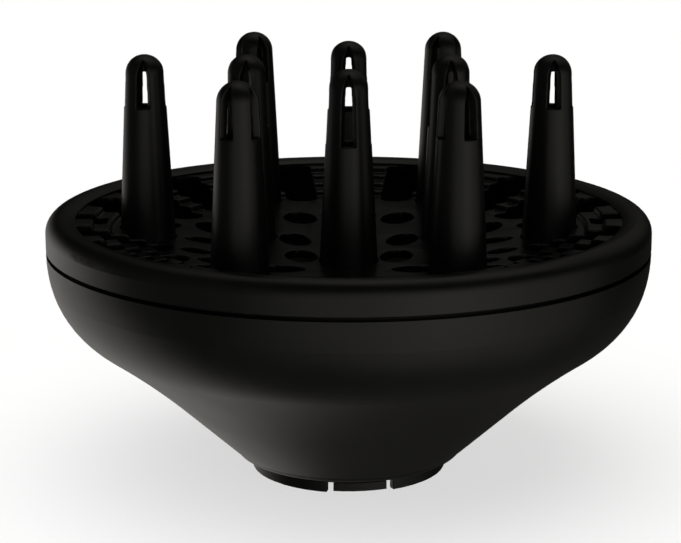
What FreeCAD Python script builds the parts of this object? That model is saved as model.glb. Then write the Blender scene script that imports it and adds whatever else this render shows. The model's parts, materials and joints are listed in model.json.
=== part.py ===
"""Hair dryer diffuser: S-shaped bowl, rim ring, vented stepped plate, ten slotted fingers, nozzle socket.

Millimetres, +Z up.  The origin is the centre of the socket's mouth, at the bottom of the collar.
Every piece is turned, cut or patterned from the sizes in the spreadsheet "Sizes".
"""
import FreeCAD
import Part
import Sketcher
import math
import os

DOC = FreeCAD.newDocument("DryerDiffuser")
SHEET = DOC.addObject("Spreadsheet::Sheet", "Sizes")
ORIGIN, H_AXIS, V_AXIS = -1, -1, -2
TINY = 1e-7


# --- sizes ------------------------------------------------------------------------------------------

class Size:
    """A length or angle that knows its value and the spreadsheet expression that gives it."""

    def __init__(self, value, text):
        self.value = value
        self.text = text

    def __add__(self, other):
        other = as_size(other)
        return Size(self.value + other.value, f"({self.text} + {other.text})")

    def __sub__(self, other):
        other = as_size(other)
        return Size(self.value - other.value, f"({self.text} - {other.text})")

    def __mul__(self, other):
        other = as_size(other)
        return Size(self.value * other.value, f"({self.text} * {other.text})")

    def __truediv__(self, other):
        other = as_size(other)
        return Size(self.value / other.value, f"({self.text} / {other.text})")

    def __neg__(self):
        return Size(-self.value, f"(0 - {self.text})")


def as_size(value):
    return value if isinstance(value, Size) else Size(value, repr(value))


def cosine(angle):
    angle = as_size(angle)
    return Size(math.cos(math.radians(angle.value)), f"cos({angle.text} * 1deg)")


def sine(angle):
    angle = as_size(angle)
    return Size(math.sin(math.radians(angle.value)), f"sin({angle.text} * 1deg)")


def driving_sizes(table):
    """Write alias, value and meaning to the sheet and return the sizes by alias."""
    sizes = {}
    for row, (alias, value, meaning) in enumerate(table, start=1):
        SHEET.set(f"A{row}", alias)
        SHEET.set(f"B{row}", str(value))
        SHEET.set(f"C{row}", meaning)
        SHEET.setAlias(f"B{row}", alias)
        sizes[alias] = Size(float(value), f"Sizes.{alias}")
    return sizes


S = driving_sizes([
    ("seam_radius", 80.0, "largest radius, at the seam between bowl and rim"),
    ("seam_height", 61.2, "middle of the seam groove"),
    ("seam_gap", 0.9, "height of the seam groove"),
    ("shell_wall", 2.2, "wall of the bowl and the plate"),
    ("bend_drop", 0.2, "how far below the seam's middle the bowl starts to bend in"),
    ("upper_bend", 34.92, "radius of the bowl's gentle bend under the seam"),
    ("upper_turn", 13.34, "degrees that the upper bend turns"),
    ("shoulder_bend", 26.39, "radius of the bowl's shoulder"),
    ("shoulder_turn", 41.93, "degrees that the shoulder turns"),
    ("saddle_bend", 205.6, "radius of the hollow between shoulder and cone"),
    ("saddle_turn", 7.84, "degrees that the hollow turns back"),
    ("neck_bottom", 3.9, "height of the bowl's lowest lip"),
    ("neck_lip_radius", 27.6, "outer radius of the lip's flat underside"),
    ("neck_lip_bend", 3.4, "radius of the rounded edge between lip and cone"),
    ("neck_cone_start", 5.5, "height where the cone begins"),
    ("neck_seat_height", 9.0, "seat inside the neck for the collar's flange"),
    ("plate_ledge_height", 57.0, "ledge inside the bowl that carries the plate"),
    ("ledge_depth", 1.6, "thickness of that ledge at its inner edge"),
    ("rim_corner", 66.3, "height where the rim's side turns over"),
    ("rim_chamfer", 0.3, "chamfer of the rim's lower edge, and room under its spigot"),
    ("rim_bend", 4.0, "radius of the rim's outer corner"),
    ("rim_lip_bend", 6.3, "radius of the rim's inner slope"),
    ("rim_lip_radius", 72.3, "inner radius of the rim"),
    ("rim_lip_top", 69.1, "height of the rim's inner nose"),
    ("fit_gap", 0.05, "gap between fixed pieces that fit into each other"),
    ("floor_height", 63.0, "top of the plate's flat floor"),
    ("first_step_radius", 53.55, "radius of the first stair"),
    ("step_tread", 4.6, "width of a stair"),
    ("step_rise", 1.41, "height of a stair"),
    ("step_edge", 0.5, "rounding of a stair's edge"),
    ("riser_inset", 1.54, "how far a riser's underside lies outside its top"),
    ("plate_radius", 76.0, "outer radius of the plate and its skirt"),
    ("skirt_wall", 2.0, "wall of the plate's skirt"),
    ("slot_start", 47.6, "inner end of an air slot"),
    ("slot_end", 73.3, "outer end of an air slot, just under the rim's lip"),
    ("slot_inner_width", 8.4, "width of an air slot near its inner end"),
    ("slot_outer_width", 12.9, "width of an air slot at its outer end"),
    ("slot_corner", 4.6, "corner radius of an air slot's outer end"),
    ("port_start", 64.3, "inner end of the small hole behind an outer finger"),
    ("port_width", 8.0, "width of that small hole"),
    ("port_corner", 1.5, "corner radius of that small hole"),
    ("outer_circle", 53.4, "circle of the six outer fingers"),
    ("inner_circle", 26.7, "circle of the four inner fingers"),
    ("tip_height", 111.7, "top of the fingers"),
    ("finger_base", 7.35, "radius of a finger at the floor"),
    ("finger_dome", 5.15, "radius of a finger's round tip"),
    ("finger_wall", 2.0, "wall of a finger"),
    ("finger_flange", 8.2, "radius of the flange under the plate"),
    ("seat_radius", 8.6, "radius of the flat seat for that flange"),
    ("seat_inset", 0.6, "how far the seats' fillings stay behind the risers"),
    ("seat_bury", 0.5, "how far the seats' fillings stay under the treads"),
    ("flange_depth", 1.8, "thickness of that flange"),
    ("dome_solid", 4.3, "solid depth below the tip"),
    ("outer_vent_depth", 13.7, "bottom of an outer finger's slots below the tip"),
    ("outer_vent_shoulder", 6.0, "where an outer finger's slot begins to close, below the tip"),
    ("inner_vent_depth", 18.9, "bottom of an inner finger's slots below the tip"),
    ("inner_vent_shoulder", 7.5, "where an inner finger's slot begins to close, below the tip"),
    ("vent_top", 0.5, "point of a slot's arch, below the tip"),
    ("vent_surface", 5.3, "radius near the finger's surface"),
    ("vent_width", 3.9, "width of a slot at that radius"),
    ("vent_bore", 3.2, "radius near the finger's hollow"),
    ("vent_bore_width", 1.5, "width of a slot at that radius"),
    ("vent_core", 2.2, "radius of the core left between the slots"),
    ("collar_radius", 26.15, "outer radius of the collar"),
    ("socket_radius", 24.0, "inner radius of the socket"),
    ("socket_depth", 20.0, "depth of the socket"),
    ("collar_height", 24.0, "height of the collar"),
    ("seal_seat", 23.0, "radius of the rubber ring's seat behind the socket"),
    ("seal_radius", 21.6, "inner radius of the collar's inner lip"),
    ("seal_depth", 2.0, "thickness of the rubber ring"),
    ("collar_flange", 31.0, "radius of the collar's flange"),
    ("collar_flange_depth", 2.0, "thickness of the collar's flange"),
    ("clamp_radius", 31.6, "outer radius of the clamp ring"),
    ("clamp_depth", 2.4, "thickness of the clamp ring"),
    ("screw_circle", 28.8, "circle of the clamp ring's screws"),
    ("screw_radius", 0.95, "radius of a screw's shank"),
    ("screw_head", 1.9, "radius of a screw's head"),
    ("screw_head_depth", 1.3, "height of a screw's head"),
    ("screw_length", 7.0, "length of a clamp ring screw's shank"),
    ("pilot_gap", 0.03, "gap between a shank and its pilot hole"),
    ("clearance_gap", 0.15, "gap between a shank and a hole that it passes"),
    ("seal_gap", 0.1, "how much wider the rubber ring is inside than the lip over it"),
    ("notch_height", 2.75, "height of the notches in the collar's edge"),
    ("tongue_angle", 32.0, "degrees that a tongue spans"),
    ("tongue_slit", 3.66, "degrees of the slit beside a tongue"),
    ("tongue_pocket_slit", 0.7, "degrees beside a tongue above the notch"),
    ("tongue_top", 16.8, "height of a tongue's root"),
    ("tongue_roof_gap", 0.25, "room above a tongue's root"),
    ("tongue_wall", 0.9, "thickness of a tongue"),
    ("tongue_foot", 1.55, "thickness of a tongue's foot"),
    ("tongue_foot_top", 2.45, "top of a tongue's foot"),
    ("tongue_bottom", 0.25, "bottom of a tongue"),
    ("collar_skin", 0.55, "skin of the collar outside a tongue"),
    ("first_tongue", 277.0, "direction of the first tongue, degrees"),
    ("baffle_radius", 31.0, "radius of the air baffle"),
    ("baffle_centre", 45.0, "lowest point of the baffle"),
    ("baffle_edge", 49.5, "height of the baffle's edge"),
    ("baffle_wall", 1.8, "wall of the baffle"),
    ("hub_radius", 4.5, "radius of the baffle's hub and the plate's boss"),
    ("hub_top", 54.0, "height where hub and boss meet"),
    ("baffle_screw_length", 9.0, "depth of the baffle screw's pilot hole"),
])

# Oval holes in the floor on the -X side: centre x, centre y, length, width, direction in degrees.
# Each has a mirror image on the +X side.
FLOOR_OVALS = [
    ("back", -13.5, 23.1, 15.4, 8.7, 103.0),
    ("middle", -14.2, -3.7, 15.0, 7.7, 106.0),
    ("front", -12.2, -22.9, 13.8, 7.9, 102.0),
    ("near_edge", -17.7, -36.7, 13.7, 7.3, 175.0),
    ("side_back", -37.5, 11.2, 15.4, 6.8, 113.0),
    ("side_middle", -38.1, -4.7, 13.2, 5.2, 142.0),
    ("side_front", -39.7, -16.7, 10.4, 4.2, 138.0),
    ("side_near", -34.0, -28.0, 10.4, 4.7, 143.0),
]
TONGUES = 3
SCREWS = 3
FINGER_VENTS = 4
STAIRS = 4
OVERSHOOT = 1.0


# --- helpers ----------------------------------------------------------------------------------------

def bind(obj, prop, size):
    """Tie one property of an object to the spreadsheet."""
    obj.setExpression(prop, as_size(size).text)


def new_body(label):
    body = DOC.addObject("PartDesign::Body", label)
    body.Label = label
    return body


def origin_plane(body, role):
    return next(f for f in body.Origin.OriginFeatures if getattr(f, "Role", "") == role)


def new_sketch(body, name, role, offset=None):
    """A sketch on one of the body's own origin planes, moved by an optional offset."""
    sketch = body.newObject("Sketcher::SketchObject", name)
    sketch.AttachmentSupport = (origin_plane(body, role), [""])
    sketch.MapMode = "FlatFace"
    if offset is not None:
        sketch.AttachmentOffset = offset
    return sketch


def arc_between(start, end, radius, bulge):
    """Arc that bulges to the left (+1) or to the right (-1) of the way from start to end."""
    dx, dy = end[0] - start[0], end[1] - start[1]
    chord = math.hypot(dx, dy)
    inset = math.sqrt(max(radius * radius - chord * chord / 4, 0.0)) / chord * bulge
    centre_x = (start[0] + end[0]) / 2 + dy * inset
    centre_y = (start[1] + end[1]) / 2 - dx * inset
    first, last = (start, end) if bulge < 0 else (end, start)
    from_angle = math.atan2(first[1] - centre_y, first[0] - centre_x)
    to_angle = math.atan2(last[1] - centre_y, last[0] - centre_x)
    if to_angle < from_angle:
        to_angle += 2 * math.pi
    circle = Part.Circle(FreeCAD.Vector(centre_x, centre_y, 0), FreeCAD.Vector(0, 0, 1), radius)
    return Part.ArcOfCircle(circle, from_angle, to_angle)


def pin_coordinate(sketch, kind, edge, point, size):
    """Fix one coordinate of a point, as a distance from the sketch's origin."""
    if abs(size.value) < TINY:
        axis = V_AXIS if kind == "DistanceX" else H_AXIS
        sketch.addConstraint(Sketcher.Constraint("PointOnObject", edge, point, axis))
        return
    if size.value > 0:
        constraint = Sketcher.Constraint(kind, ORIGIN, 1, edge, point, size.value)
    else:
        constraint = Sketcher.Constraint(kind, edge, point, ORIGIN, 1, -size.value)
        size = -size
    index = sketch.addConstraint(constraint)
    sketch.setExpression(f"Constraints[{index}]", size.text)


def draw_outline(sketch, outline):
    """Draw a closed outline.  Each entry is (x, y) or (x, y, radius, bulge) when an arc leaves it."""
    corners = [(as_size(entry[0]), as_size(entry[1])) for entry in outline]
    values = [(x.value, y.value) for x, y in corners]
    first = sketch.GeometryCount
    starts = []
    for number, entry in enumerate(outline):
        start = values[number]
        end = values[(number + 1) % len(values)]
        if len(entry) == 2:
            line = Part.LineSegment(FreeCAD.Vector(*start, 0), FreeCAD.Vector(*end, 0))
            sketch.addGeometry(line, False)
            starts.append((1, 2))
        else:
            arc = arc_between(start, end, as_size(entry[2]).value, entry[3])
            sketch.addGeometry(arc, False)
            starts.append((1, 2) if entry[3] < 0 else (2, 1))
    for number in range(len(outline)):
        following = (number + 1) % len(outline)
        sketch.addConstraint(Sketcher.Constraint(
            "Coincident", first + number, starts[number][1], first + following, starts[following][0]))
    for number, entry in enumerate(outline):
        pin_coordinate(sketch, "DistanceX", first + number, starts[number][0], corners[number][0])
        pin_coordinate(sketch, "DistanceY", first + number, starts[number][0], corners[number][1])
        if len(entry) > 2:
            radius = as_size(entry[2])
            index = sketch.addConstraint(Sketcher.Constraint("Radius", first + number, radius.value))
            sketch.setExpression(f"Constraints[{index}]", radius.text)


def turn(body, name, outline):
    """Revolve an (r, z) outline about the Z axis as a solid of the body."""
    sketch = new_sketch(body, name + "_profile", "XZ_Plane")
    draw_outline(sketch, outline)
    solid = body.newObject("PartDesign::Revolution", name)
    solid.Profile = sketch
    solid.ReferenceAxis = (sketch, ["V_Axis"])
    solid.Angle = 360.0
    return solid


def turn_away(body, name, outline, angle):
    """Cut a revolved sector of the given angle, centred on the body's +X axis."""
    sketch = new_sketch(body, name + "_profile", "XZ_Plane")
    draw_outline(sketch, outline)
    groove = body.newObject("PartDesign::Groove", name)
    groove.Profile = sketch
    groove.ReferenceAxis = (sketch, ["V_Axis"])
    groove.Midplane = True
    bind(groove, "Angle", angle)
    return groove


def pattern(body, feature, count):
    """Repeat a feature evenly round the Z axis."""
    polar = body.newObject("PartDesign::PolarPattern", feature.Name + "_pattern")
    polar.Originals = [feature]
    polar.Axis = (next(f for f in body.Origin.OriginFeatures if getattr(f, "Role", "") == "Z_Axis"), [""])
    polar.Angle = 360.0
    polar.Occurrences = count
    body.Tip = polar
    return polar


def cut_down(body, name, outline, azimuth, start, depth):
    """Pocket an outline drawn along its own x axis, turned to an azimuth, down from a height."""
    turned = FreeCAD.Rotation(FreeCAD.Vector(0, 0, 1), azimuth)
    sketch = new_sketch(body, name + "_outline", "XY_Plane", FreeCAD.Placement(FreeCAD.Vector(), turned))
    bind(sketch, "AttachmentOffset.Base.z", start)
    draw_outline(sketch, outline)
    pocket = body.newObject("PartDesign::Pocket", name)
    pocket.Profile = sketch
    pocket.Type = "Length"
    bind(pocket, "Length", depth)
    pocket.Reversed = False
    return pocket


def round_bar(name, radius, height, at_x, at_y, at_z):
    """An upright cylinder primitive with its foot at the given point."""
    bar = DOC.addObject("Part::Cylinder", name)
    bind(bar, "Radius", radius)
    bind(bar, "Height", height)
    bind(bar, "Placement.Base.x", at_x)
    bind(bar, "Placement.Base.y", at_y)
    bind(bar, "Placement.Base.z", at_z)
    return bar


def oval_cutter(name, centre_x, centre_y, length, width, direction, bottom, height):
    """An upright bar with an oval section."""
    oval = DOC.addObject("Part::Ellipse", name + "_outline")
    oval.MajorRadius = length / 2
    oval.MinorRadius = width / 2
    turned = FreeCAD.Rotation(FreeCAD.Vector(0, 0, 1), direction)
    oval.Placement = FreeCAD.Placement(FreeCAD.Vector(centre_x, centre_y, 0), turned)
    bind(oval, "Placement.Base.z", bottom)
    bar = DOC.addObject("Part::Extrusion", name)
    bar.Base = oval
    bar.DirMode = "Custom"
    bar.Dir = FreeCAD.Vector(0, 0, 1)
    bar.Solid = True
    bind(bar, "LengthFwd", height)
    return bar


def cut_from(label, base, tools):
    """The base with every tool taken out of it, as a finished sub-part."""
    tool = tools[0]
    if len(tools) > 1:
        tool = DOC.addObject("Part::MultiFuse", label + "_cutters")
        tool.Shapes = tools
    cut = DOC.addObject("Part::Cut", label)
    cut.Label = label
    cut.Base = base
    cut.Tool = tool
    return cut


def face(body, azimuth):
    """Turn a body about the Z axis so that its +X side looks along the azimuth."""
    body.Placement = FreeCAD.Placement(FreeCAD.Vector(), FreeCAD.Rotation(FreeCAD.Vector(0, 0, 1), azimuth))


def polar_point(radius, azimuth):
    return as_size(radius) * cosine(azimuth), as_size(radius) * sine(azimuth)


# --- sub-parts --------------------------------------------------------------------------------------

def bowl_wall(inset):
    """Corners of the bowl's S-shaped wall, from seam to cone, moved inwards by the inset."""
    upper = S["upper_bend"] - inset
    shoulder = S["shoulder_bend"] - inset
    saddle = S["saddle_bend"] + inset
    turned = S["upper_turn"] + S["shoulder_turn"]
    cone = turned - S["saddle_turn"]
    upper_x = S["seam_radius"] - S["upper_bend"]
    upper_z = S["seam_height"] - S["bend_drop"]
    join_x = upper_x + upper * cosine(S["upper_turn"])
    join_z = upper_z - upper * sine(S["upper_turn"])
    back = S["upper_bend"] - S["shoulder_bend"]
    shoulder_x = upper_x + back * cosine(S["upper_turn"])
    shoulder_z = upper_z - back * sine(S["upper_turn"])
    low_x = shoulder_x + shoulder * cosine(turned)
    low_z = shoulder_z - shoulder * sine(turned)
    across = S["shoulder_bend"] + S["saddle_bend"]
    saddle_x = shoulder_x + across * cosine(turned)
    saddle_z = shoulder_z - across * sine(turned)
    cone_x = saddle_x - saddle * cosine(cone)
    cone_z = saddle_z + saddle * sine(cone)
    return {"upper": upper, "shoulder": shoulder, "saddle": saddle, "cone": cone,
            "join": (join_x, join_z), "low": (low_x, low_z), "cone_top": (cone_x, cone_z)}


def along_cone(wall, height):
    """Radius of the wall's straight cone at a height."""
    top_x, top_z = wall["cone_top"]
    return top_x - (top_z - height) * sine(wall["cone"]) / cosine(wall["cone"])


def make_bowl_shell():
    outer = bowl_wall(as_size(0.0))
    inner = bowl_wall(S["shell_wall"])
    edge = S["seam_height"] - S["seam_gap"] / 2
    wall_inside = S["seam_radius"] - S["shell_wall"] - S["fit_gap"]
    hole = S["collar_radius"] + S["fit_gap"]
    ledge_in = S["plate_radius"] - S["skirt_wall"]
    seat = S["neck_seat_height"]
    outline = [
        (hole, S["neck_bottom"]),
        (S["neck_lip_radius"], S["neck_bottom"], S["neck_lip_bend"], -1),
        (along_cone(outer, S["neck_cone_start"]), S["neck_cone_start"]),
        (*outer["cone_top"], outer["saddle"], 1),
        (*outer["low"], outer["shoulder"], -1),
        (*outer["join"], outer["upper"], -1),
        (S["seam_radius"], edge),
        (wall_inside, edge),
        (wall_inside, S["plate_ledge_height"]),
        (ledge_in, S["plate_ledge_height"]),
        (ledge_in, S["plate_ledge_height"] - S["ledge_depth"]),
        (*inner["join"], inner["shoulder"], 1),
        (*inner["low"], inner["saddle"], -1),
        inner["cone_top"],
        (along_cone(inner, seat), seat),
        (hole, seat),
    ]
    body = new_body("bowl_shell_turned")
    turn(body, "bowl_turning", outline)
    pilots = [round_bar(f"bowl_pilot_{n + 1}", S["screw_radius"] + S["pilot_gap"], S["screw_length"],
                        *screw_place(n), screw_seat() - S["screw_length"] - S["fit_gap"] * 2)
              for n in range(SCREWS)]
    return cut_from("bowl_shell", body, pilots)


def make_rim_ring():
    inside = S["plate_radius"] + S["fit_gap"] * 3
    spigot = S["seam_radius"] - S["shell_wall"] - S["fit_gap"] * 2
    bottom = S["seam_height"] + S["seam_gap"] / 2
    under = plate_top() + S["fit_gap"]
    crest_x = S["seam_radius"] - S["rim_bend"]
    crest_z = S["rim_corner"] + S["rim_bend"]
    outline = [
        (inside, S["plate_ledge_height"] + S["rim_chamfer"]),
        (spigot, S["plate_ledge_height"] + S["rim_chamfer"]),
        (spigot, bottom),
        (S["seam_radius"] - S["rim_chamfer"], bottom),
        (S["seam_radius"], bottom + S["rim_chamfer"]),
        (S["seam_radius"], S["rim_corner"], S["rim_bend"], -1),
        (crest_x, crest_z, S["rim_lip_bend"], -1),
        (S["rim_lip_radius"], S["rim_lip_top"]),
        (S["rim_lip_radius"], under),
        (inside, under),
    ]
    body = new_body("rim_ring")
    turn(body, "rim_turning", outline)
    return body


def plate_top():
    return S["floor_height"] + S["step_rise"] * STAIRS


def stairs(rise_start, first_radius):
    """Corners of the plate's four stairs, each with a rounded edge."""
    corners = []
    edge = S["step_edge"]
    for step in range(STAIRS):
        x = first_radius + S["step_tread"] * step
        z = rise_start + S["step_rise"] * step
        corners.append((x, z))
        corners.append((x, z + S["step_rise"] - edge, edge, -1))
        corners.append((x + edge, z + S["step_rise"]))
    return corners


def make_diffuser_plate():
    underside = S["floor_height"] - S["shell_wall"]
    below = []
    for step in reversed(range(STAIRS)):
        x = S["first_step_radius"] + S["step_tread"] * step + S["riser_inset"]
        below.append((x, underside + S["step_rise"] * (step + 1)))
        below.append((x, underside + S["step_rise"] * step))
    skirt_in = S["plate_radius"] - S["skirt_wall"]
    outline = [(0.0, S["floor_height"])]
    outline += stairs(S["floor_height"], S["first_step_radius"])
    outline += [
        (S["plate_radius"], plate_top()),
        (S["plate_radius"], S["plate_ledge_height"]),
        (skirt_in, S["plate_ledge_height"]),
        (skirt_in, underside + S["step_rise"] * STAIRS),
    ]
    outline += below
    outline += [
        (S["hub_radius"], underside),
        (S["hub_radius"], S["hub_top"]),
        (0.0, S["hub_top"]),
    ]
    body = new_body("plate_turned")
    turn(body, "plate_turning", outline)
    cut_air_slots(body)
    joined = DOC.addObject("Part::MultiFuse", "plate_with_seats")
    joined.Shapes = [body, make_finger_seats(underside)]
    return cut_from("diffuser_plate", joined, plate_cutters(underside))


def make_finger_seats(underside):
    """Flat seats that fill the stairs' underside round the outer fingers."""
    bars = [round_bar(f"seat_bar_{n + 1}", S["seat_radius"], S["step_rise"] * STAIRS,
                      *polar_point(S["outer_circle"], 60 * n), underside) for n in range(6)]
    together = DOC.addObject("Part::MultiFuse", "seat_bars")
    together.Shapes = bars
    below = S["floor_height"] - S["seat_bury"]
    first = S["first_step_radius"] + S["seat_inset"]
    second = first + S["step_tread"]
    start = S["outer_circle"] - S["seat_radius"] * 1.2
    end = S["outer_circle"] + S["seat_radius"] * 1.05
    room = new_body("seat_room")
    turn(room, "seat_room_turning", [
        (start, underside),
        (end, underside),
        (end, below + S["step_rise"] * 2),
        (second, below + S["step_rise"] * 2),
        (second, below + S["step_rise"]),
        (first, below + S["step_rise"]),
        (first, below),
        (start, below),
    ])
    seats = DOC.addObject("Part::Common", "finger_seats")
    seats.Base = together
    seats.Tool = room
    return seats


def cut_air_slots(body):
    """Eighteen wedge-shaped slots, and six short ones behind the outer fingers."""
    depth = plate_top() - S["plate_ledge_height"] + OVERSHOOT
    top = plate_top() + OVERSHOOT / 2
    half_in = S["slot_inner_width"] / 2
    half_out = S["slot_outer_width"] / 2
    corner = S["slot_corner"]
    slot = [
        (S["slot_start"] + half_in, -half_in),
        (S["slot_end"] - corner, -half_out, corner, -1),
        (S["slot_end"], -half_out + corner),
        (S["slot_end"], half_out - corner, corner, -1),
        (S["slot_end"] - corner, half_out),
        (S["slot_start"] + half_in, half_in, half_in, -1),
        (S["slot_start"], 0.0, half_in, -1),
    ]
    half_port = S["port_width"] / 2
    bend = S["port_corner"]
    port = [
        (S["port_start"], -half_port + bend, bend, -1),
        (S["port_start"] + bend, -half_port),
        (S["slot_end"] - bend, -half_port, bend, -1),
        (S["slot_end"], -half_port + bend),
        (S["slot_end"], half_port - bend, bend, -1),
        (S["slot_end"] - bend, half_port),
        (S["port_start"] + bend, half_port, bend, -1),
        (S["port_start"], half_port - bend),
    ]
    for azimuth in (15, 30, 45):
        pattern(body, cut_down(body, f"air_slot_{azimuth}", slot, azimuth, top, depth), 6)
    pattern(body, cut_down(body, "air_port", port, 0, top, depth), 6)


def plate_cutters(underside):
    """Oval holes, finger holes and the baffle screw's pilot hole."""
    cutters = []
    start = underside - OVERSHOOT
    height = S["shell_wall"] + OVERSHOOT * 2
    for name, x, y, length, width, direction in FLOOR_OVALS:
        cutters.append(oval_cutter(f"oval_{name}_left", x, y, length, width, direction, start, height))
        cutters.append(oval_cutter(f"oval_{name}_right", -x, y, length, width, 180 - direction,
                                   start, height))
    hole = finger_radius(underside) + S["fit_gap"]
    tall = height + S["step_rise"] * STAIRS
    for ring, number, (x, y), _ in finger_places():
        cutters.append(round_bar(f"{ring}_finger_hole_{number}", hole, tall, x, y, start))
    cutters.append(round_bar("baffle_pilot", S["screw_radius"] + S["pilot_gap"], S["baffle_screw_length"],
                             0.0, 0.0, S["hub_top"] - OVERSHOOT))
    return cutters


def finger_places():
    """Ring, number, centre and direction of every finger."""
    outer = [("outer", n + 1, polar_point(S["outer_circle"], 60 * n), 60 * n) for n in range(6)]
    inner = [("inner", n + 1, polar_point(S["inner_circle"], 90 * n), 90 * n) for n in range(4)]
    return outer + inner


def finger_radius(height):
    """Outer radius of a finger at a height: straight taper from the floor to the tip's round."""
    dome = S["tip_height"] - S["finger_dome"]
    share = (dome - height) / (dome - S["floor_height"])
    return S["finger_dome"] + (S["finger_base"] - S["finger_dome"]) * share


def make_finger(ring, number, centre, direction):
    """A hollow finger that stands through the plate, with four slots under its round tip."""
    label = f"{ring}_finger_{number}"
    underside = S["floor_height"] - S["shell_wall"]
    flange_top = underside - S["fit_gap"]
    flange_bottom = flange_top - S["flange_depth"]
    dome = S["tip_height"] - S["finger_dome"]
    ceiling = S["tip_height"] - S["dome_solid"]
    wall = S["finger_wall"]
    outline = [
        (finger_radius(flange_bottom) - wall, flange_bottom),
        (S["finger_flange"], flange_bottom),
        (S["finger_flange"], flange_top),
        (finger_radius(flange_top), flange_top),
        (S["finger_dome"], dome, S["finger_dome"], -1),
        (0.0, S["tip_height"]),
        (0.0, ceiling),
        (finger_radius(ceiling) - wall, ceiling),
    ]
    body = new_body(label)
    turn(body, label + "_turning", outline)
    pattern(body, cut_vent(body, label, ring), FINGER_VENTS)
    face(body, direction + 90)
    bind(body, "Placement.Base.x", centre[0])
    bind(body, "Placement.Base.y", centre[1])
    return body


def arch(ring, width):
    """Outline of a finger's slot: straight sides that close in a pointed arch."""
    half = width / 2
    tip = S["tip_height"]
    bottom = tip - S[f"{ring}_vent_depth"]
    shoulder = tip - S[f"{ring}_vent_shoulder"]
    top = tip - S["vent_top"]
    rise = top - shoulder
    bend = (half * half + rise * rise) / width
    return [
        (-half, bottom),
        (half, bottom),
        (half, shoulder, bend, -1),
        (0.0, top, bend, -1),
        (-half, shoulder),
    ]


def vent_width_at(radius):
    """Width of a slot at a distance from the finger's axis: its sides are flat and converge."""
    slope = (S["vent_width"] - S["vent_bore_width"]) / (S["vent_surface"] - S["vent_bore"])
    return S["vent_bore_width"] + (radius - S["vent_bore"]) * slope


def cut_vent(body, label, ring):
    """One slot, wide at the finger's surface and narrow at its core."""
    sections = []
    for name, radius in (("core", S["vent_core"]), ("outside", S["vent_surface"] * 1.4)):
        sketch = new_sketch(body, f"{label}_vent_{name}", "XZ_Plane")
        bind(sketch, "AttachmentOffset.Base.z", radius)
        draw_outline(sketch, arch(ring, vent_width_at(radius)))
        sections.append(sketch)
    vent = body.newObject("PartDesign::SubtractiveLoft", label + "_vent")
    vent.Profile = sections[0]
    vent.Sections = sections[1:]
    vent.Ruled = True
    return vent


def make_nozzle_collar():
    shoulder = S["socket_depth"] + S["seal_depth"]
    flange_bottom = S["neck_seat_height"]
    flange_top = flange_bottom + S["collar_flange_depth"]
    outline = [
        (S["socket_radius"], 0.0),
        (S["collar_radius"], 0.0),
        (S["collar_radius"], flange_bottom),
        (S["collar_flange"], flange_bottom),
        (S["collar_flange"], flange_top),
        (S["collar_radius"], flange_top),
        (S["collar_radius"], S["collar_height"]),
        (S["seal_radius"], S["collar_height"]),
        (S["seal_radius"], shoulder),
        (S["seal_seat"], shoulder),
        (S["seal_seat"], S["socket_depth"]),
        (S["socket_radius"], S["socket_depth"]),
    ]
    body = new_body("nozzle_collar_turned")
    turn(body, "collar_turning", outline)
    beyond = S["collar_radius"] + OVERSHOOT
    before = S["socket_radius"] - OVERSHOOT
    low = -OVERSHOOT
    notch = [(before, low), (beyond, low), (beyond, S["notch_height"]), (before, S["notch_height"])]
    notch_angle = S["tongue_angle"] + S["tongue_slit"] * 2
    pattern(body, turn_away(body, "tongue_notch", notch, notch_angle), TONGUES)
    skin = S["collar_radius"] - S["collar_skin"]
    roof = S["tongue_top"] + S["tongue_roof_gap"]
    pocket = [(before, low), (skin, low), (skin, roof), (before, roof)]
    pocket_angle = S["tongue_angle"] + S["tongue_pocket_slit"] * 2
    pattern(body, turn_away(body, "tongue_pocket", pocket, pocket_angle), TONGUES)
    face(body, S["first_tongue"].value)
    holes = [round_bar(f"collar_hole_{n + 1}", S["screw_radius"] + S["clearance_gap"],
                       S["collar_flange_depth"] + OVERSHOOT * 2, *screw_place(n),
                       flange_bottom - OVERSHOOT) for n in range(SCREWS)]
    return cut_from("nozzle_collar", body, holes)


def make_latch_tongue(number):
    """A spring tongue that hangs from its root and shows in the collar's notch."""
    inside = S["socket_radius"]
    thin = inside + S["tongue_wall"]
    foot = inside + S["tongue_foot"]
    outline = [
        (inside, S["tongue_bottom"]),
        (foot, S["tongue_bottom"]),
        (foot, S["tongue_foot_top"]),
        (thin, S["tongue_foot_top"]),
        (thin, S["tongue_top"]),
        (inside, S["tongue_top"]),
    ]
    label = f"latch_tongue_{number + 1}"
    body = new_body(label)
    sketch = new_sketch(body, label + "_profile", "XZ_Plane")
    draw_outline(sketch, outline)
    solid = body.newObject("PartDesign::Revolution", label + "_turning")
    solid.Profile = sketch
    solid.ReferenceAxis = (sketch, ["V_Axis"])
    solid.Midplane = True
    bind(solid, "Angle", S["tongue_angle"])
    face(body, S["first_tongue"].value + 120 * number)
    return body


def make_socket_seal_ring():
    body = new_body("socket_seal_ring")
    inside = S["seal_radius"] + S["seal_gap"]
    outside = S["seal_seat"] - S["fit_gap"]
    top = S["socket_depth"] + S["seal_depth"] - S["fit_gap"]
    turn(body, "seal_turning", [
        (inside, S["socket_depth"]),
        (outside, S["socket_depth"]),
        (outside, top),
        (inside, top),
    ])
    return body


def clamp_bottom():
    return S["neck_seat_height"] + S["collar_flange_depth"]


def screw_seat():
    return clamp_bottom() + S["clamp_depth"]


def screw_place(number):
    """Where one of the clamp ring's screws stands, between two tongues."""
    return polar_point(S["screw_circle"], S["first_tongue"] + 60 + 120 * number)


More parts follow.
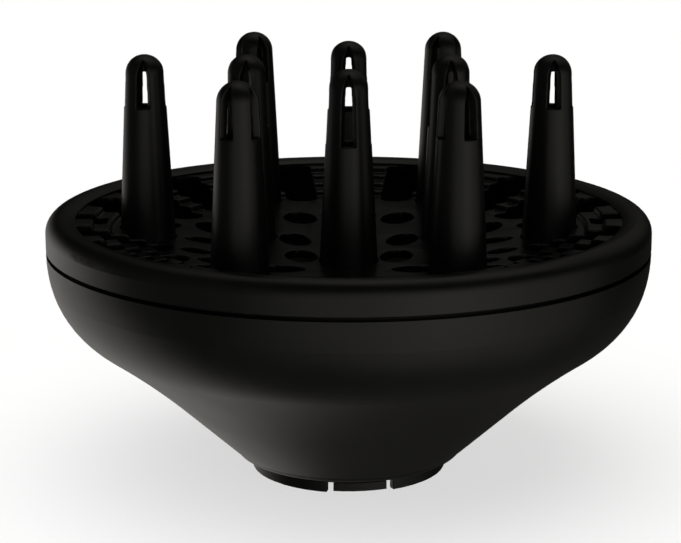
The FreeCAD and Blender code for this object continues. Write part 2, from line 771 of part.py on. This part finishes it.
def make_collar_clamp_ring():
    body = new_body("clamp_ring_turned")
    inside = S["collar_radius"] + S["fit_gap"] * 2
    turn(body, "clamp_turning", [
        (inside, clamp_bottom()),
        (S["clamp_radius"], clamp_bottom()),
        (S["clamp_radius"], screw_seat()),
        (inside, screw_seat()),
    ])
    holes = [round_bar(f"clamp_hole_{n + 1}", S["screw_radius"] + S["clearance_gap"],
                       S["clamp_depth"] + OVERSHOOT * 2, *screw_place(n),
                       clamp_bottom() - OVERSHOOT) for n in range(SCREWS)]
    return cut_from("collar_clamp_ring", body, holes)


def make_screw(name, seat, length, x, y, upwards):
    """A pan-head screw: its shank leaves the seat, its head lies on the other side of it."""
    head_start = seat - S["screw_head_depth"] if upwards else seat
    shank_start = seat if upwards else seat - length
    head = round_bar(name + "_head", S["screw_head"], S["screw_head_depth"], x, y, head_start)
    shank = round_bar(name + "_shank", S["screw_radius"], length, x, y, shank_start)
    screw = DOC.addObject("Part::Fuse", name)
    screw.Base = head
    screw.Tool = shank
    return screw


def make_clamp_ring_screws():
    group = DOC.addObject("Part::Compound", "clamp_ring_screws")
    group.Label = "clamp_ring_screws"
    group.Links = [make_screw(f"clamp_screw_{n + 1}", screw_seat(), S["screw_length"],
                              *screw_place(n), False) for n in range(SCREWS)]
    return group


def make_air_baffle():
    """A dished disc that hangs from a hub under the plate's boss."""
    wall = S["baffle_wall"]
    body = new_body("air_baffle_turned")
    turn(body, "baffle_turning", [
        (0.0, S["baffle_centre"]),
        (S["hub_radius"], S["baffle_centre"]),
        (S["baffle_radius"], S["baffle_edge"]),
        (S["baffle_radius"], S["baffle_edge"] + wall),
        (S["hub_radius"], S["baffle_centre"] + wall),
        (S["hub_radius"], S["hub_top"]),
        (0.0, S["hub_top"]),
    ])
    hole = round_bar("baffle_hole", S["screw_radius"] + S["clearance_gap"],
                     S["hub_top"] - S["baffle_centre"] + OVERSHOOT * 2,
                     0.0, 0.0, S["baffle_centre"] - OVERSHOOT)
    return cut_from("air_baffle", body, [hole])


def make_baffle_screw():
    length = S["hub_top"] - S["baffle_centre"] + S["baffle_screw_length"] - OVERSHOOT * 2
    screw = make_screw("baffle_screw", S["baffle_centre"], length, 0.0, 0.0, True)
    screw.Label = "baffle_screw"
    return screw


# --- assembly ---------------------------------------------------------------------------------------

def make_all():
    parts = [make_bowl_shell(), make_rim_ring(), make_diffuser_plate()]
    parts += [make_finger(*place) for place in finger_places()]
    parts.append(make_nozzle_collar())
    parts += [make_latch_tongue(number) for number in range(TONGUES)]
    parts += [make_socket_seal_ring(), make_collar_clamp_ring(), make_clamp_ring_screws()]
    parts += [make_air_baffle(), make_baffle_screw()]
    return parts


def check(parts):
    for obj in DOC.Objects:
        for state in obj.State:
            if "Invalid" in state or "Error" in state:
                raise RuntimeError(f"{obj.Label} is {state}")
    for part in parts:
        shape = part.Shape
        if shape.isNull() or not shape.isValid() or not shape.Solids:
            raise RuntimeError(f"{part.Label} has no valid solid")
        print(f"{part.Label}: {len(shape.Solids)} solid(s), {shape.Volume / 1000:.2f} cm3")


def main():
    DOC.recompute()
    parts = make_all()
    DOC.recompute()
    check(parts)
    os.makedirs("parts", exist_ok=True)
    for part in parts:
        part.Shape.exportStep(f"parts/{part.Label}.step")


main()
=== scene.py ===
import json
import math

import bpy
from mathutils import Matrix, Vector

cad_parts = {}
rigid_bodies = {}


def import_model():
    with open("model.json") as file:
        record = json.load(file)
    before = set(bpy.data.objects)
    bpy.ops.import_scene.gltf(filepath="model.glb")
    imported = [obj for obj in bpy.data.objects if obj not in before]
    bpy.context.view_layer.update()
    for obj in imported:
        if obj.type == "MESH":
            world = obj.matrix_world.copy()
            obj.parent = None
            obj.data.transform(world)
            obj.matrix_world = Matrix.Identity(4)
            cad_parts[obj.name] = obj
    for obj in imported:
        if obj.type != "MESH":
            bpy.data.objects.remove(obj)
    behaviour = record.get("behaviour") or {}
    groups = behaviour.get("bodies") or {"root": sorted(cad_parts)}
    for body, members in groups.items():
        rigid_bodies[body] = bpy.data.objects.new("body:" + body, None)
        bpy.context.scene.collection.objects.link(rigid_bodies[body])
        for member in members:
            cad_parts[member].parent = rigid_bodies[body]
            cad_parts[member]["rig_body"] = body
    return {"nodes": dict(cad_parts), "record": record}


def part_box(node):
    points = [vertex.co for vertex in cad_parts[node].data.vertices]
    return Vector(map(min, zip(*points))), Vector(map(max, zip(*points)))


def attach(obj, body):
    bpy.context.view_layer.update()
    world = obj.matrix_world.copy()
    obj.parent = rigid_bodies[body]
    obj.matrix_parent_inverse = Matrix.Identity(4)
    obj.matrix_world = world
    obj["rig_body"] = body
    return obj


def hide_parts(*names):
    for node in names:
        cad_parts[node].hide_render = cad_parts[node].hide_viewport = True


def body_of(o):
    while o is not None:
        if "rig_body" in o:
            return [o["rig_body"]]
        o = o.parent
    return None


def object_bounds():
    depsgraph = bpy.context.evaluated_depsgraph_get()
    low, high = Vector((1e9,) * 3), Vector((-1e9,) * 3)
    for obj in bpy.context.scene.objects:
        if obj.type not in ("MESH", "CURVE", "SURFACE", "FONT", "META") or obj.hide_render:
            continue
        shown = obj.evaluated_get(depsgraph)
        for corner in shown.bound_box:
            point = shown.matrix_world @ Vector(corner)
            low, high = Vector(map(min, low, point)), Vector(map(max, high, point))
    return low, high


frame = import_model()
cad_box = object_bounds()

MM = 0.001

# The fingers' cone and tip, in millimetres: height of the plate's floor, radius there, tip's radius,
# and how far from that shape a skin may lie and still be brought back onto it.
FLOOR_HEIGHT = 63.0
BASE_RADIUS = 7.35
DOME_RADIUS = 5.15
SKIN_REACH = 0.15

# Noise scales of the plastic's look, per metre, and the depths of its relief in metres.
PATCH_SCALE = 60.0
WAVE_SCALE = 140.0
GRAIN_SCALE = 2600.0
WAVE_DEPTH = 0.0004
GRAIN_DEPTH = 0.00006
GLOSSIER = 0.028
DULLER = 0.056


# --- materials --------------------------------------------------------------------------------------

def add_node(tree, kind, **inputs):
    """A shader node with some of its inputs set."""
    node = tree.nodes.new(kind)
    for name, value in inputs.items():
        node.inputs[name.replace("_", " ")].default_value = value
    return node


def plastic(name, colour, roughness, specular=0.5, grain=1.0):
    """Moulded plastic: satin base, spark-eroded grain, soft patches of gloss and of tone."""
    material = bpy.data.materials.new(name)
    material.use_nodes = True
    tree = material.node_tree
    link = tree.links.new
    surface = tree.nodes["Principled BSDF"]
    surface.inputs["Specular IOR Level"].default_value = specular
    surface.inputs["IOR"].default_value = 1.5
    place = tree.nodes.new("ShaderNodeTexCoord")

    patches = add_node(tree, "ShaderNodeTexNoise", Scale=PATCH_SCALE, Detail=4.0, Roughness=0.55)
    link(place.outputs["Object"], patches.inputs["Vector"])
    gloss = tree.nodes.new("ShaderNodeMapRange")
    gloss.inputs["To Min"].default_value = roughness - GLOSSIER
    gloss.inputs["To Max"].default_value = roughness + DULLER
    link(patches.outputs["Fac"], gloss.inputs["Value"])
    link(gloss.outputs["Result"], surface.inputs["Roughness"])

    tone = tree.nodes.new("ShaderNodeValToRGB")
    for stop, position, factor in zip(tone.color_ramp.elements, (0.3, 0.7), (0.8, 1.25)):
        stop.color = (*[channel * factor for channel in colour], 1)
        stop.position = position
    link(patches.outputs["Fac"], tone.inputs["Fac"])
    link(tone.outputs["Color"], surface.inputs["Base Color"])

    specks = add_node(tree, "ShaderNodeTexNoise", Scale=GRAIN_SCALE, Detail=3.0, Roughness=0.6)
    link(place.outputs["Object"], specks.inputs["Vector"])
    wave = add_node(tree, "ShaderNodeTexNoise", Scale=WAVE_SCALE, Detail=2.0, Roughness=0.5)
    link(place.outputs["Object"], wave.inputs["Vector"])
    soft = add_node(tree, "ShaderNodeBump", Strength=0.05 * grain, Distance=WAVE_DEPTH)
    link(wave.outputs["Fac"], soft.inputs["Height"])
    fine = add_node(tree, "ShaderNodeBump", Strength=0.16 * grain, Distance=GRAIN_DEPTH)
    link(specks.outputs["Fac"], fine.inputs["Height"])
    link(soft.outputs["Normal"], fine.inputs["Normal"])
    link(fine.outputs["Normal"], surface.inputs["Normal"])
    return material


def metal(name, colour, roughness):
    """Plated steel: uneven gloss, faint tarnish and fine scratches."""
    material = bpy.data.materials.new(name)
    material.use_nodes = True
    tree = material.node_tree
    link = tree.links.new
    surface = tree.nodes["Principled BSDF"]
    surface.inputs["Metallic"].default_value = 1.0
    place = tree.nodes.new("ShaderNodeTexCoord")
    patches = add_node(tree, "ShaderNodeTexNoise", Scale=900.0, Detail=4.0, Roughness=0.6)
    link(place.outputs["Object"], patches.inputs["Vector"])
    gloss = tree.nodes.new("ShaderNodeMapRange")
    gloss.inputs["To Min"].default_value = roughness * 0.7
    gloss.inputs["To Max"].default_value = roughness * 1.4
    link(patches.outputs["Fac"], gloss.inputs["Value"])
    link(gloss.outputs["Result"], surface.inputs["Roughness"])
    tone = tree.nodes.new("ShaderNodeValToRGB")
    tone.color_ramp.elements[0].color = (*[channel * 0.7 for channel in colour], 1)
    tone.color_ramp.elements[1].color = (*colour, 1)
    link(patches.outputs["Fac"], tone.inputs["Fac"])
    link(tone.outputs["Color"], surface.inputs["Base Color"])
    lines = tree.nodes.new("ShaderNodeMapping")
    lines.inputs["Scale"].default_value = (9000.0, 900.0, 900.0)
    link(place.outputs["Object"], lines.inputs["Vector"])
    scratches = add_node(tree, "ShaderNodeTexNoise", Scale=1.0, Detail=2.0)
    link(lines.outputs["Vector"], scratches.inputs["Vector"])
    bump = add_node(tree, "ShaderNodeBump", Strength=0.15, Distance=0.00003)
    link(scratches.outputs["Fac"], bump.inputs["Height"])
    link(bump.outputs["Normal"], surface.inputs["Normal"])
    return material


def dress(node, material):
    """Give a CAD node a material."""
    obj = frame["nodes"][node]
    obj.data.materials.clear()
    obj.data.materials.append(material)


def moulded_mesh(node, grid, rounds, keep):
    """The CAD node's shape as a fine skin whose edges are softly rounded, as moulded edges are."""
    work = bpy.data.objects.new("work", frame["nodes"][node].data.copy())
    bpy.context.scene.collection.objects.link(work)
    skin = work.modifiers.new("skin", "REMESH")
    skin.mode = "VOXEL"
    skin.voxel_size = grid * MM
    skin.use_smooth_shade = True
    ease = work.modifiers.new("ease", "SMOOTH")
    ease.factor = 0.5
    ease.iterations = rounds
    thin = work.modifiers.new("thin", "DECIMATE")
    thin.ratio = keep
    graph = bpy.context.evaluated_depsgraph_get()
    mesh = bpy.data.meshes.new_from_object(work.evaluated_get(graph), depsgraph=graph)
    bpy.data.objects.remove(work)
    mesh.materials.clear()
    return mesh


def middle(node):
    """Centre of a node's box."""
    low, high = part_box(node)
    return (Vector(low) + Vector(high)) / 2


def true_up(mesh, node):
    """Bring a finger's skin onto its exact cone and round tip wherever it lies close to them."""
    axis = middle(node)
    dome_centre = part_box(node)[1][2] / MM - DOME_RADIUS
    for vertex in mesh.vertices:
        out_x, out_y = vertex.co.x - axis.x, vertex.co.y - axis.y
        reach = math.hypot(out_x, out_y) / MM
        height = vertex.co.z / MM
        if height < dome_centre:
            share = (dome_centre - height) / (dome_centre - FLOOR_HEIGHT)
            radius = DOME_RADIUS + (BASE_RADIUS - DOME_RADIUS) * share
        else:
            radius = math.sqrt(max(DOME_RADIUS ** 2 - (height - dome_centre) ** 2, 0.0))
        off = abs(radius - reach) / SKIN_REACH
        if off < 1.0 and reach > SKIN_REACH:
            scale = 1.0 + (radius / reach - 1.0) * (1.0 - off * off)
            vertex.co.x = axis.x + out_x * scale
            vertex.co.y = axis.y + out_y * scale


def stand_for(node, mesh, like):
    """A moulded piece in a CAD node's place, its mesh turned round the axis from the like node."""
    piece = bpy.data.objects.new(node + "_moulded", mesh)
    bpy.context.scene.collection.objects.link(piece)
    here, there = middle(node), middle(like)
    if node != like:
        piece.rotation_euler.z = math.atan2(here.y, here.x) - math.atan2(there.y, there.x)
    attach(piece, body_of(frame["nodes"][node])[0])
    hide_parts(node)


BLACK = (0.0045, 0.0042, 0.0039)
PLASTICS = {
    # slot: colour, roughness, specular, grain
    "shell_plastic": (BLACK, 0.34),
    "rim_plastic": (BLACK, 0.32),
    "plate_plastic": (BLACK, 0.26),
    "finger_plastic": (BLACK, 0.35),
    "collar_plastic": (BLACK, 0.38, 0.35),
    "inner_plastic": ((0.02, 0.02, 0.02), 0.55),
    "seal_rubber": ((0.012, 0.012, 0.012), 0.62, 0.35, 2.0),
}
MATERIALS = {slot: plastic(slot, *look) for slot, look in PLASTICS.items()}
MATERIALS["screw_steel"] = metal("screw_steel", (0.46, 0.45, 0.43), 0.32)

SLOTS = {part["node"]: part["material_slot"] for part in frame["record"]["subparts"]}
for node_name, slot_name in SLOTS.items():
    dress(node_name, MATERIALS[slot_name])


# --- moulded pieces ---------------------------------------------------------------------------------

# Node: grid in millimetres, rounds of easing, share of the faces kept.  All the fingers of a circle
# share the skin of the first one.
SKINS = {
    "diffuser_plate": (0.28, 3, 0.2),
    "nozzle_collar": (0.2, 3, 0.12),
    "outer_finger_1": (0.18, 5, 0.14),
    "inner_finger_1": (0.18, 5, 0.14),
}
for source, how in SKINS.items():
    skin_mesh = moulded_mesh(source, *how)
    skin_mesh.materials.append(MATERIALS[SLOTS[source]])
    family = [source]
    if "finger" in source:
        true_up(skin_mesh, source)
        family = [node_name for node_name in SLOTS if node_name.startswith(source[:-1])]
    for member in family:
        stand_for(member, skin_mesh, source)


# --- stage ------------------------------------------------------------------------------------------

FLOOR_HALF = 6.0


def make_floor():
    """A wide plain pale floor under the lowest point of the object, left out of the object's reflections."""
    low = cad_box[0].z
    mesh = bpy.data.meshes.new("studio_floor")
    corners = [(-FLOOR_HALF, -FLOOR_HALF, low), (FLOOR_HALF, -FLOOR_HALF, low),
               (FLOOR_HALF, FLOOR_HALF, low), (-FLOOR_HALF, FLOOR_HALF, low)]
    mesh.from_pydata(corners, [], [(0, 1, 2, 3)])
    floor = bpy.data.objects.new("studio_floor", mesh)
    bpy.context.scene.collection.objects.link(floor)
    material = bpy.data.materials.new("studio_floor")
    material.use_nodes = True
    paper = material.node_tree.nodes["Principled BSDF"]
    paper.inputs["Base Color"].default_value = (0.9, 0.9, 0.9, 1)
    paper.inputs["Roughness"].default_value = 1.0
    paper.inputs["Specular IOR Level"].default_value = 0.0
    mesh.materials.append(material)
    floor.visible_glossy = False
    return floor


# Soft lights round the object.  Azimuth 0 is the camera's side and +90 the right; each light is even
# out to its core angle and fades to nothing at its edge angle.
STUDIO = [
    # azimuth, elevation, brightness, core, edge
    (14, -16, 0.34, 5, 58),
    (58, -18, 0.28, 5, 54),
    (-136, -27, 0.62, 12, 45),
    (120, 70, 0.22, 3, 31),
    (-150, 70, 0.16, 3, 31),
    (150, 48, 0.08, 8, 50),
    (-60, 5, 0.030, 20, 80),
    (150, -50, 0.035, 10, 50),
    (0, -90, 0.040, 5, 45),
]
STUDIO_TINT = (1.0, 0.965, 0.915, 1)
ROOM_LIGHT = 0.008


def toward(azimuth, elevation):
    """Unit vector for a light's azimuth and elevation in degrees."""
    azimuth, elevation = math.radians(azimuth), math.radians(elevation)
    flat = math.cos(elevation)
    return Vector((math.sin(azimuth) * flat, -math.cos(azimuth) * flat, math.sin(elevation)))


def add_up(tree, first, second):
    """The sum of a number or a node's output and another node's output."""
    node = tree.nodes.new("ShaderNodeMath")
    node.operation = "ADD"
    if isinstance(first, float):
        node.inputs[0].default_value = first
    else:
        tree.links.new(first, node.inputs[0])
    tree.links.new(second, node.inputs[1])
    return node.outputs["Value"]


def make_world():
    """White background; the object is lit by a few broad soft lights in a dark room."""
    world = bpy.data.worlds.new("studio")
    bpy.context.scene.world = world
    world.use_nodes = True
    tree = world.node_tree
    link = tree.links.new
    place = tree.nodes.new("ShaderNodeTexCoord")
    total = ROOM_LIGHT
    for azimuth, elevation, brightness, core, edge in STUDIO:
        facing = tree.nodes.new("ShaderNodeVectorMath")
        facing.operation = "DOT_PRODUCT"
        facing.inputs[1].default_value = toward(azimuth, elevation)
        link(place.outputs["Generated"], facing.inputs[0])
        fade = tree.nodes.new("ShaderNodeMapRange")
        fade.interpolation_type = "SMOOTHSTEP"
        fade.inputs["From Min"].default_value = math.cos(math.radians(edge))
        fade.inputs["From Max"].default_value = math.cos(math.radians(core))
        fade.inputs["To Max"].default_value = brightness
        link(facing.outputs["Value"], fade.inputs["Value"])
        total = add_up(tree, total, fade.outputs["Result"])
    lit = tree.nodes["Background"]
    lit.inputs["Color"].default_value = STUDIO_TINT
    link(total, lit.inputs["Strength"])
    seen = add_node(tree, "ShaderNodeBackground", Color=(1, 1, 1, 1), Strength=1.0)
    path = tree.nodes.new("ShaderNodeLightPath")
    mix = tree.nodes.new("ShaderNodeMixShader")
    link(path.outputs["Is Camera Ray"], mix.inputs["Fac"])
    link(lit.outputs["Background"], mix.inputs[1])
    link(seen.outputs["Background"], mix.inputs[2])
    link(mix.outputs["Shader"], tree.nodes["World Output"].inputs["Surface"])


# Name, strength and whether it casts a shadow.
FLOOR_LIGHTS = [("floor_light", 2.9, False), ("floor_shadow", 0.45, True)]
FLOOR_LIGHT_SPREAD = math.radians(75)
FLOOR_LIGHT_LEAN = (math.radians(12), math.radians(-10), 0)


def make_floor_light(floor):
    """Soft overhead lights that only fall on the floor, so that it stays pale under a faint shadow."""
    only_floor = bpy.data.collections.new("lit_by_floor_light")
    only_floor.objects.link(floor)
    for name, strength, shadow in FLOOR_LIGHTS:
        light = bpy.data.lights.new(name, "SUN")
        light.energy = strength
        light.angle = FLOOR_LIGHT_SPREAD
        light.use_shadow = shadow
        lamp = bpy.data.objects.new(name, light)
        bpy.context.scene.collection.objects.link(lamp)
        lamp.rotation_euler = FLOOR_LIGHT_LEAN
        lamp.light_linking.receiver_collection = only_floor


# The camera's downward tilt, its distance from the point it looks at, that point's height (metres),
# the lens and sensor (millimetres), and the picture's shift as a share of its width.
CAMERA_TILT = math.radians(13.74)
CAMERA_DISTANCE = 0.5636
AIM_HEIGHT = 0.0533
LENS = 111.3
SENSOR_WIDTH = 36.0
IMAGE_WIDTH = 681
CAMERA_SHIFT = -8.15 / IMAGE_WIDTH


def make_camera():
    """A long lens, a little above the object's top edge, looking along +Y."""
    forward = Vector((0, math.cos(CAMERA_TILT), -math.sin(CAMERA_TILT)))
    data = bpy.data.cameras.new("camera")
    data.sensor_width = SENSOR_WIDTH
    data.lens = LENS
    data.shift_x = CAMERA_SHIFT
    data.clip_start = 0.01
    camera = bpy.data.objects.new("camera", data)
    bpy.context.scene.collection.objects.link(camera)
    camera.location = Vector((0, 0, AIM_HEIGHT)) - forward * CAMERA_DISTANCE
    camera.rotation_euler = forward.to_track_quat("-Z", "Y").to_euler()
    bpy.context.scene.camera = camera


make_world()
make_floor_light(make_floor())
make_camera()
bpy.context.scene.view_settings.view_transform = "Standard"
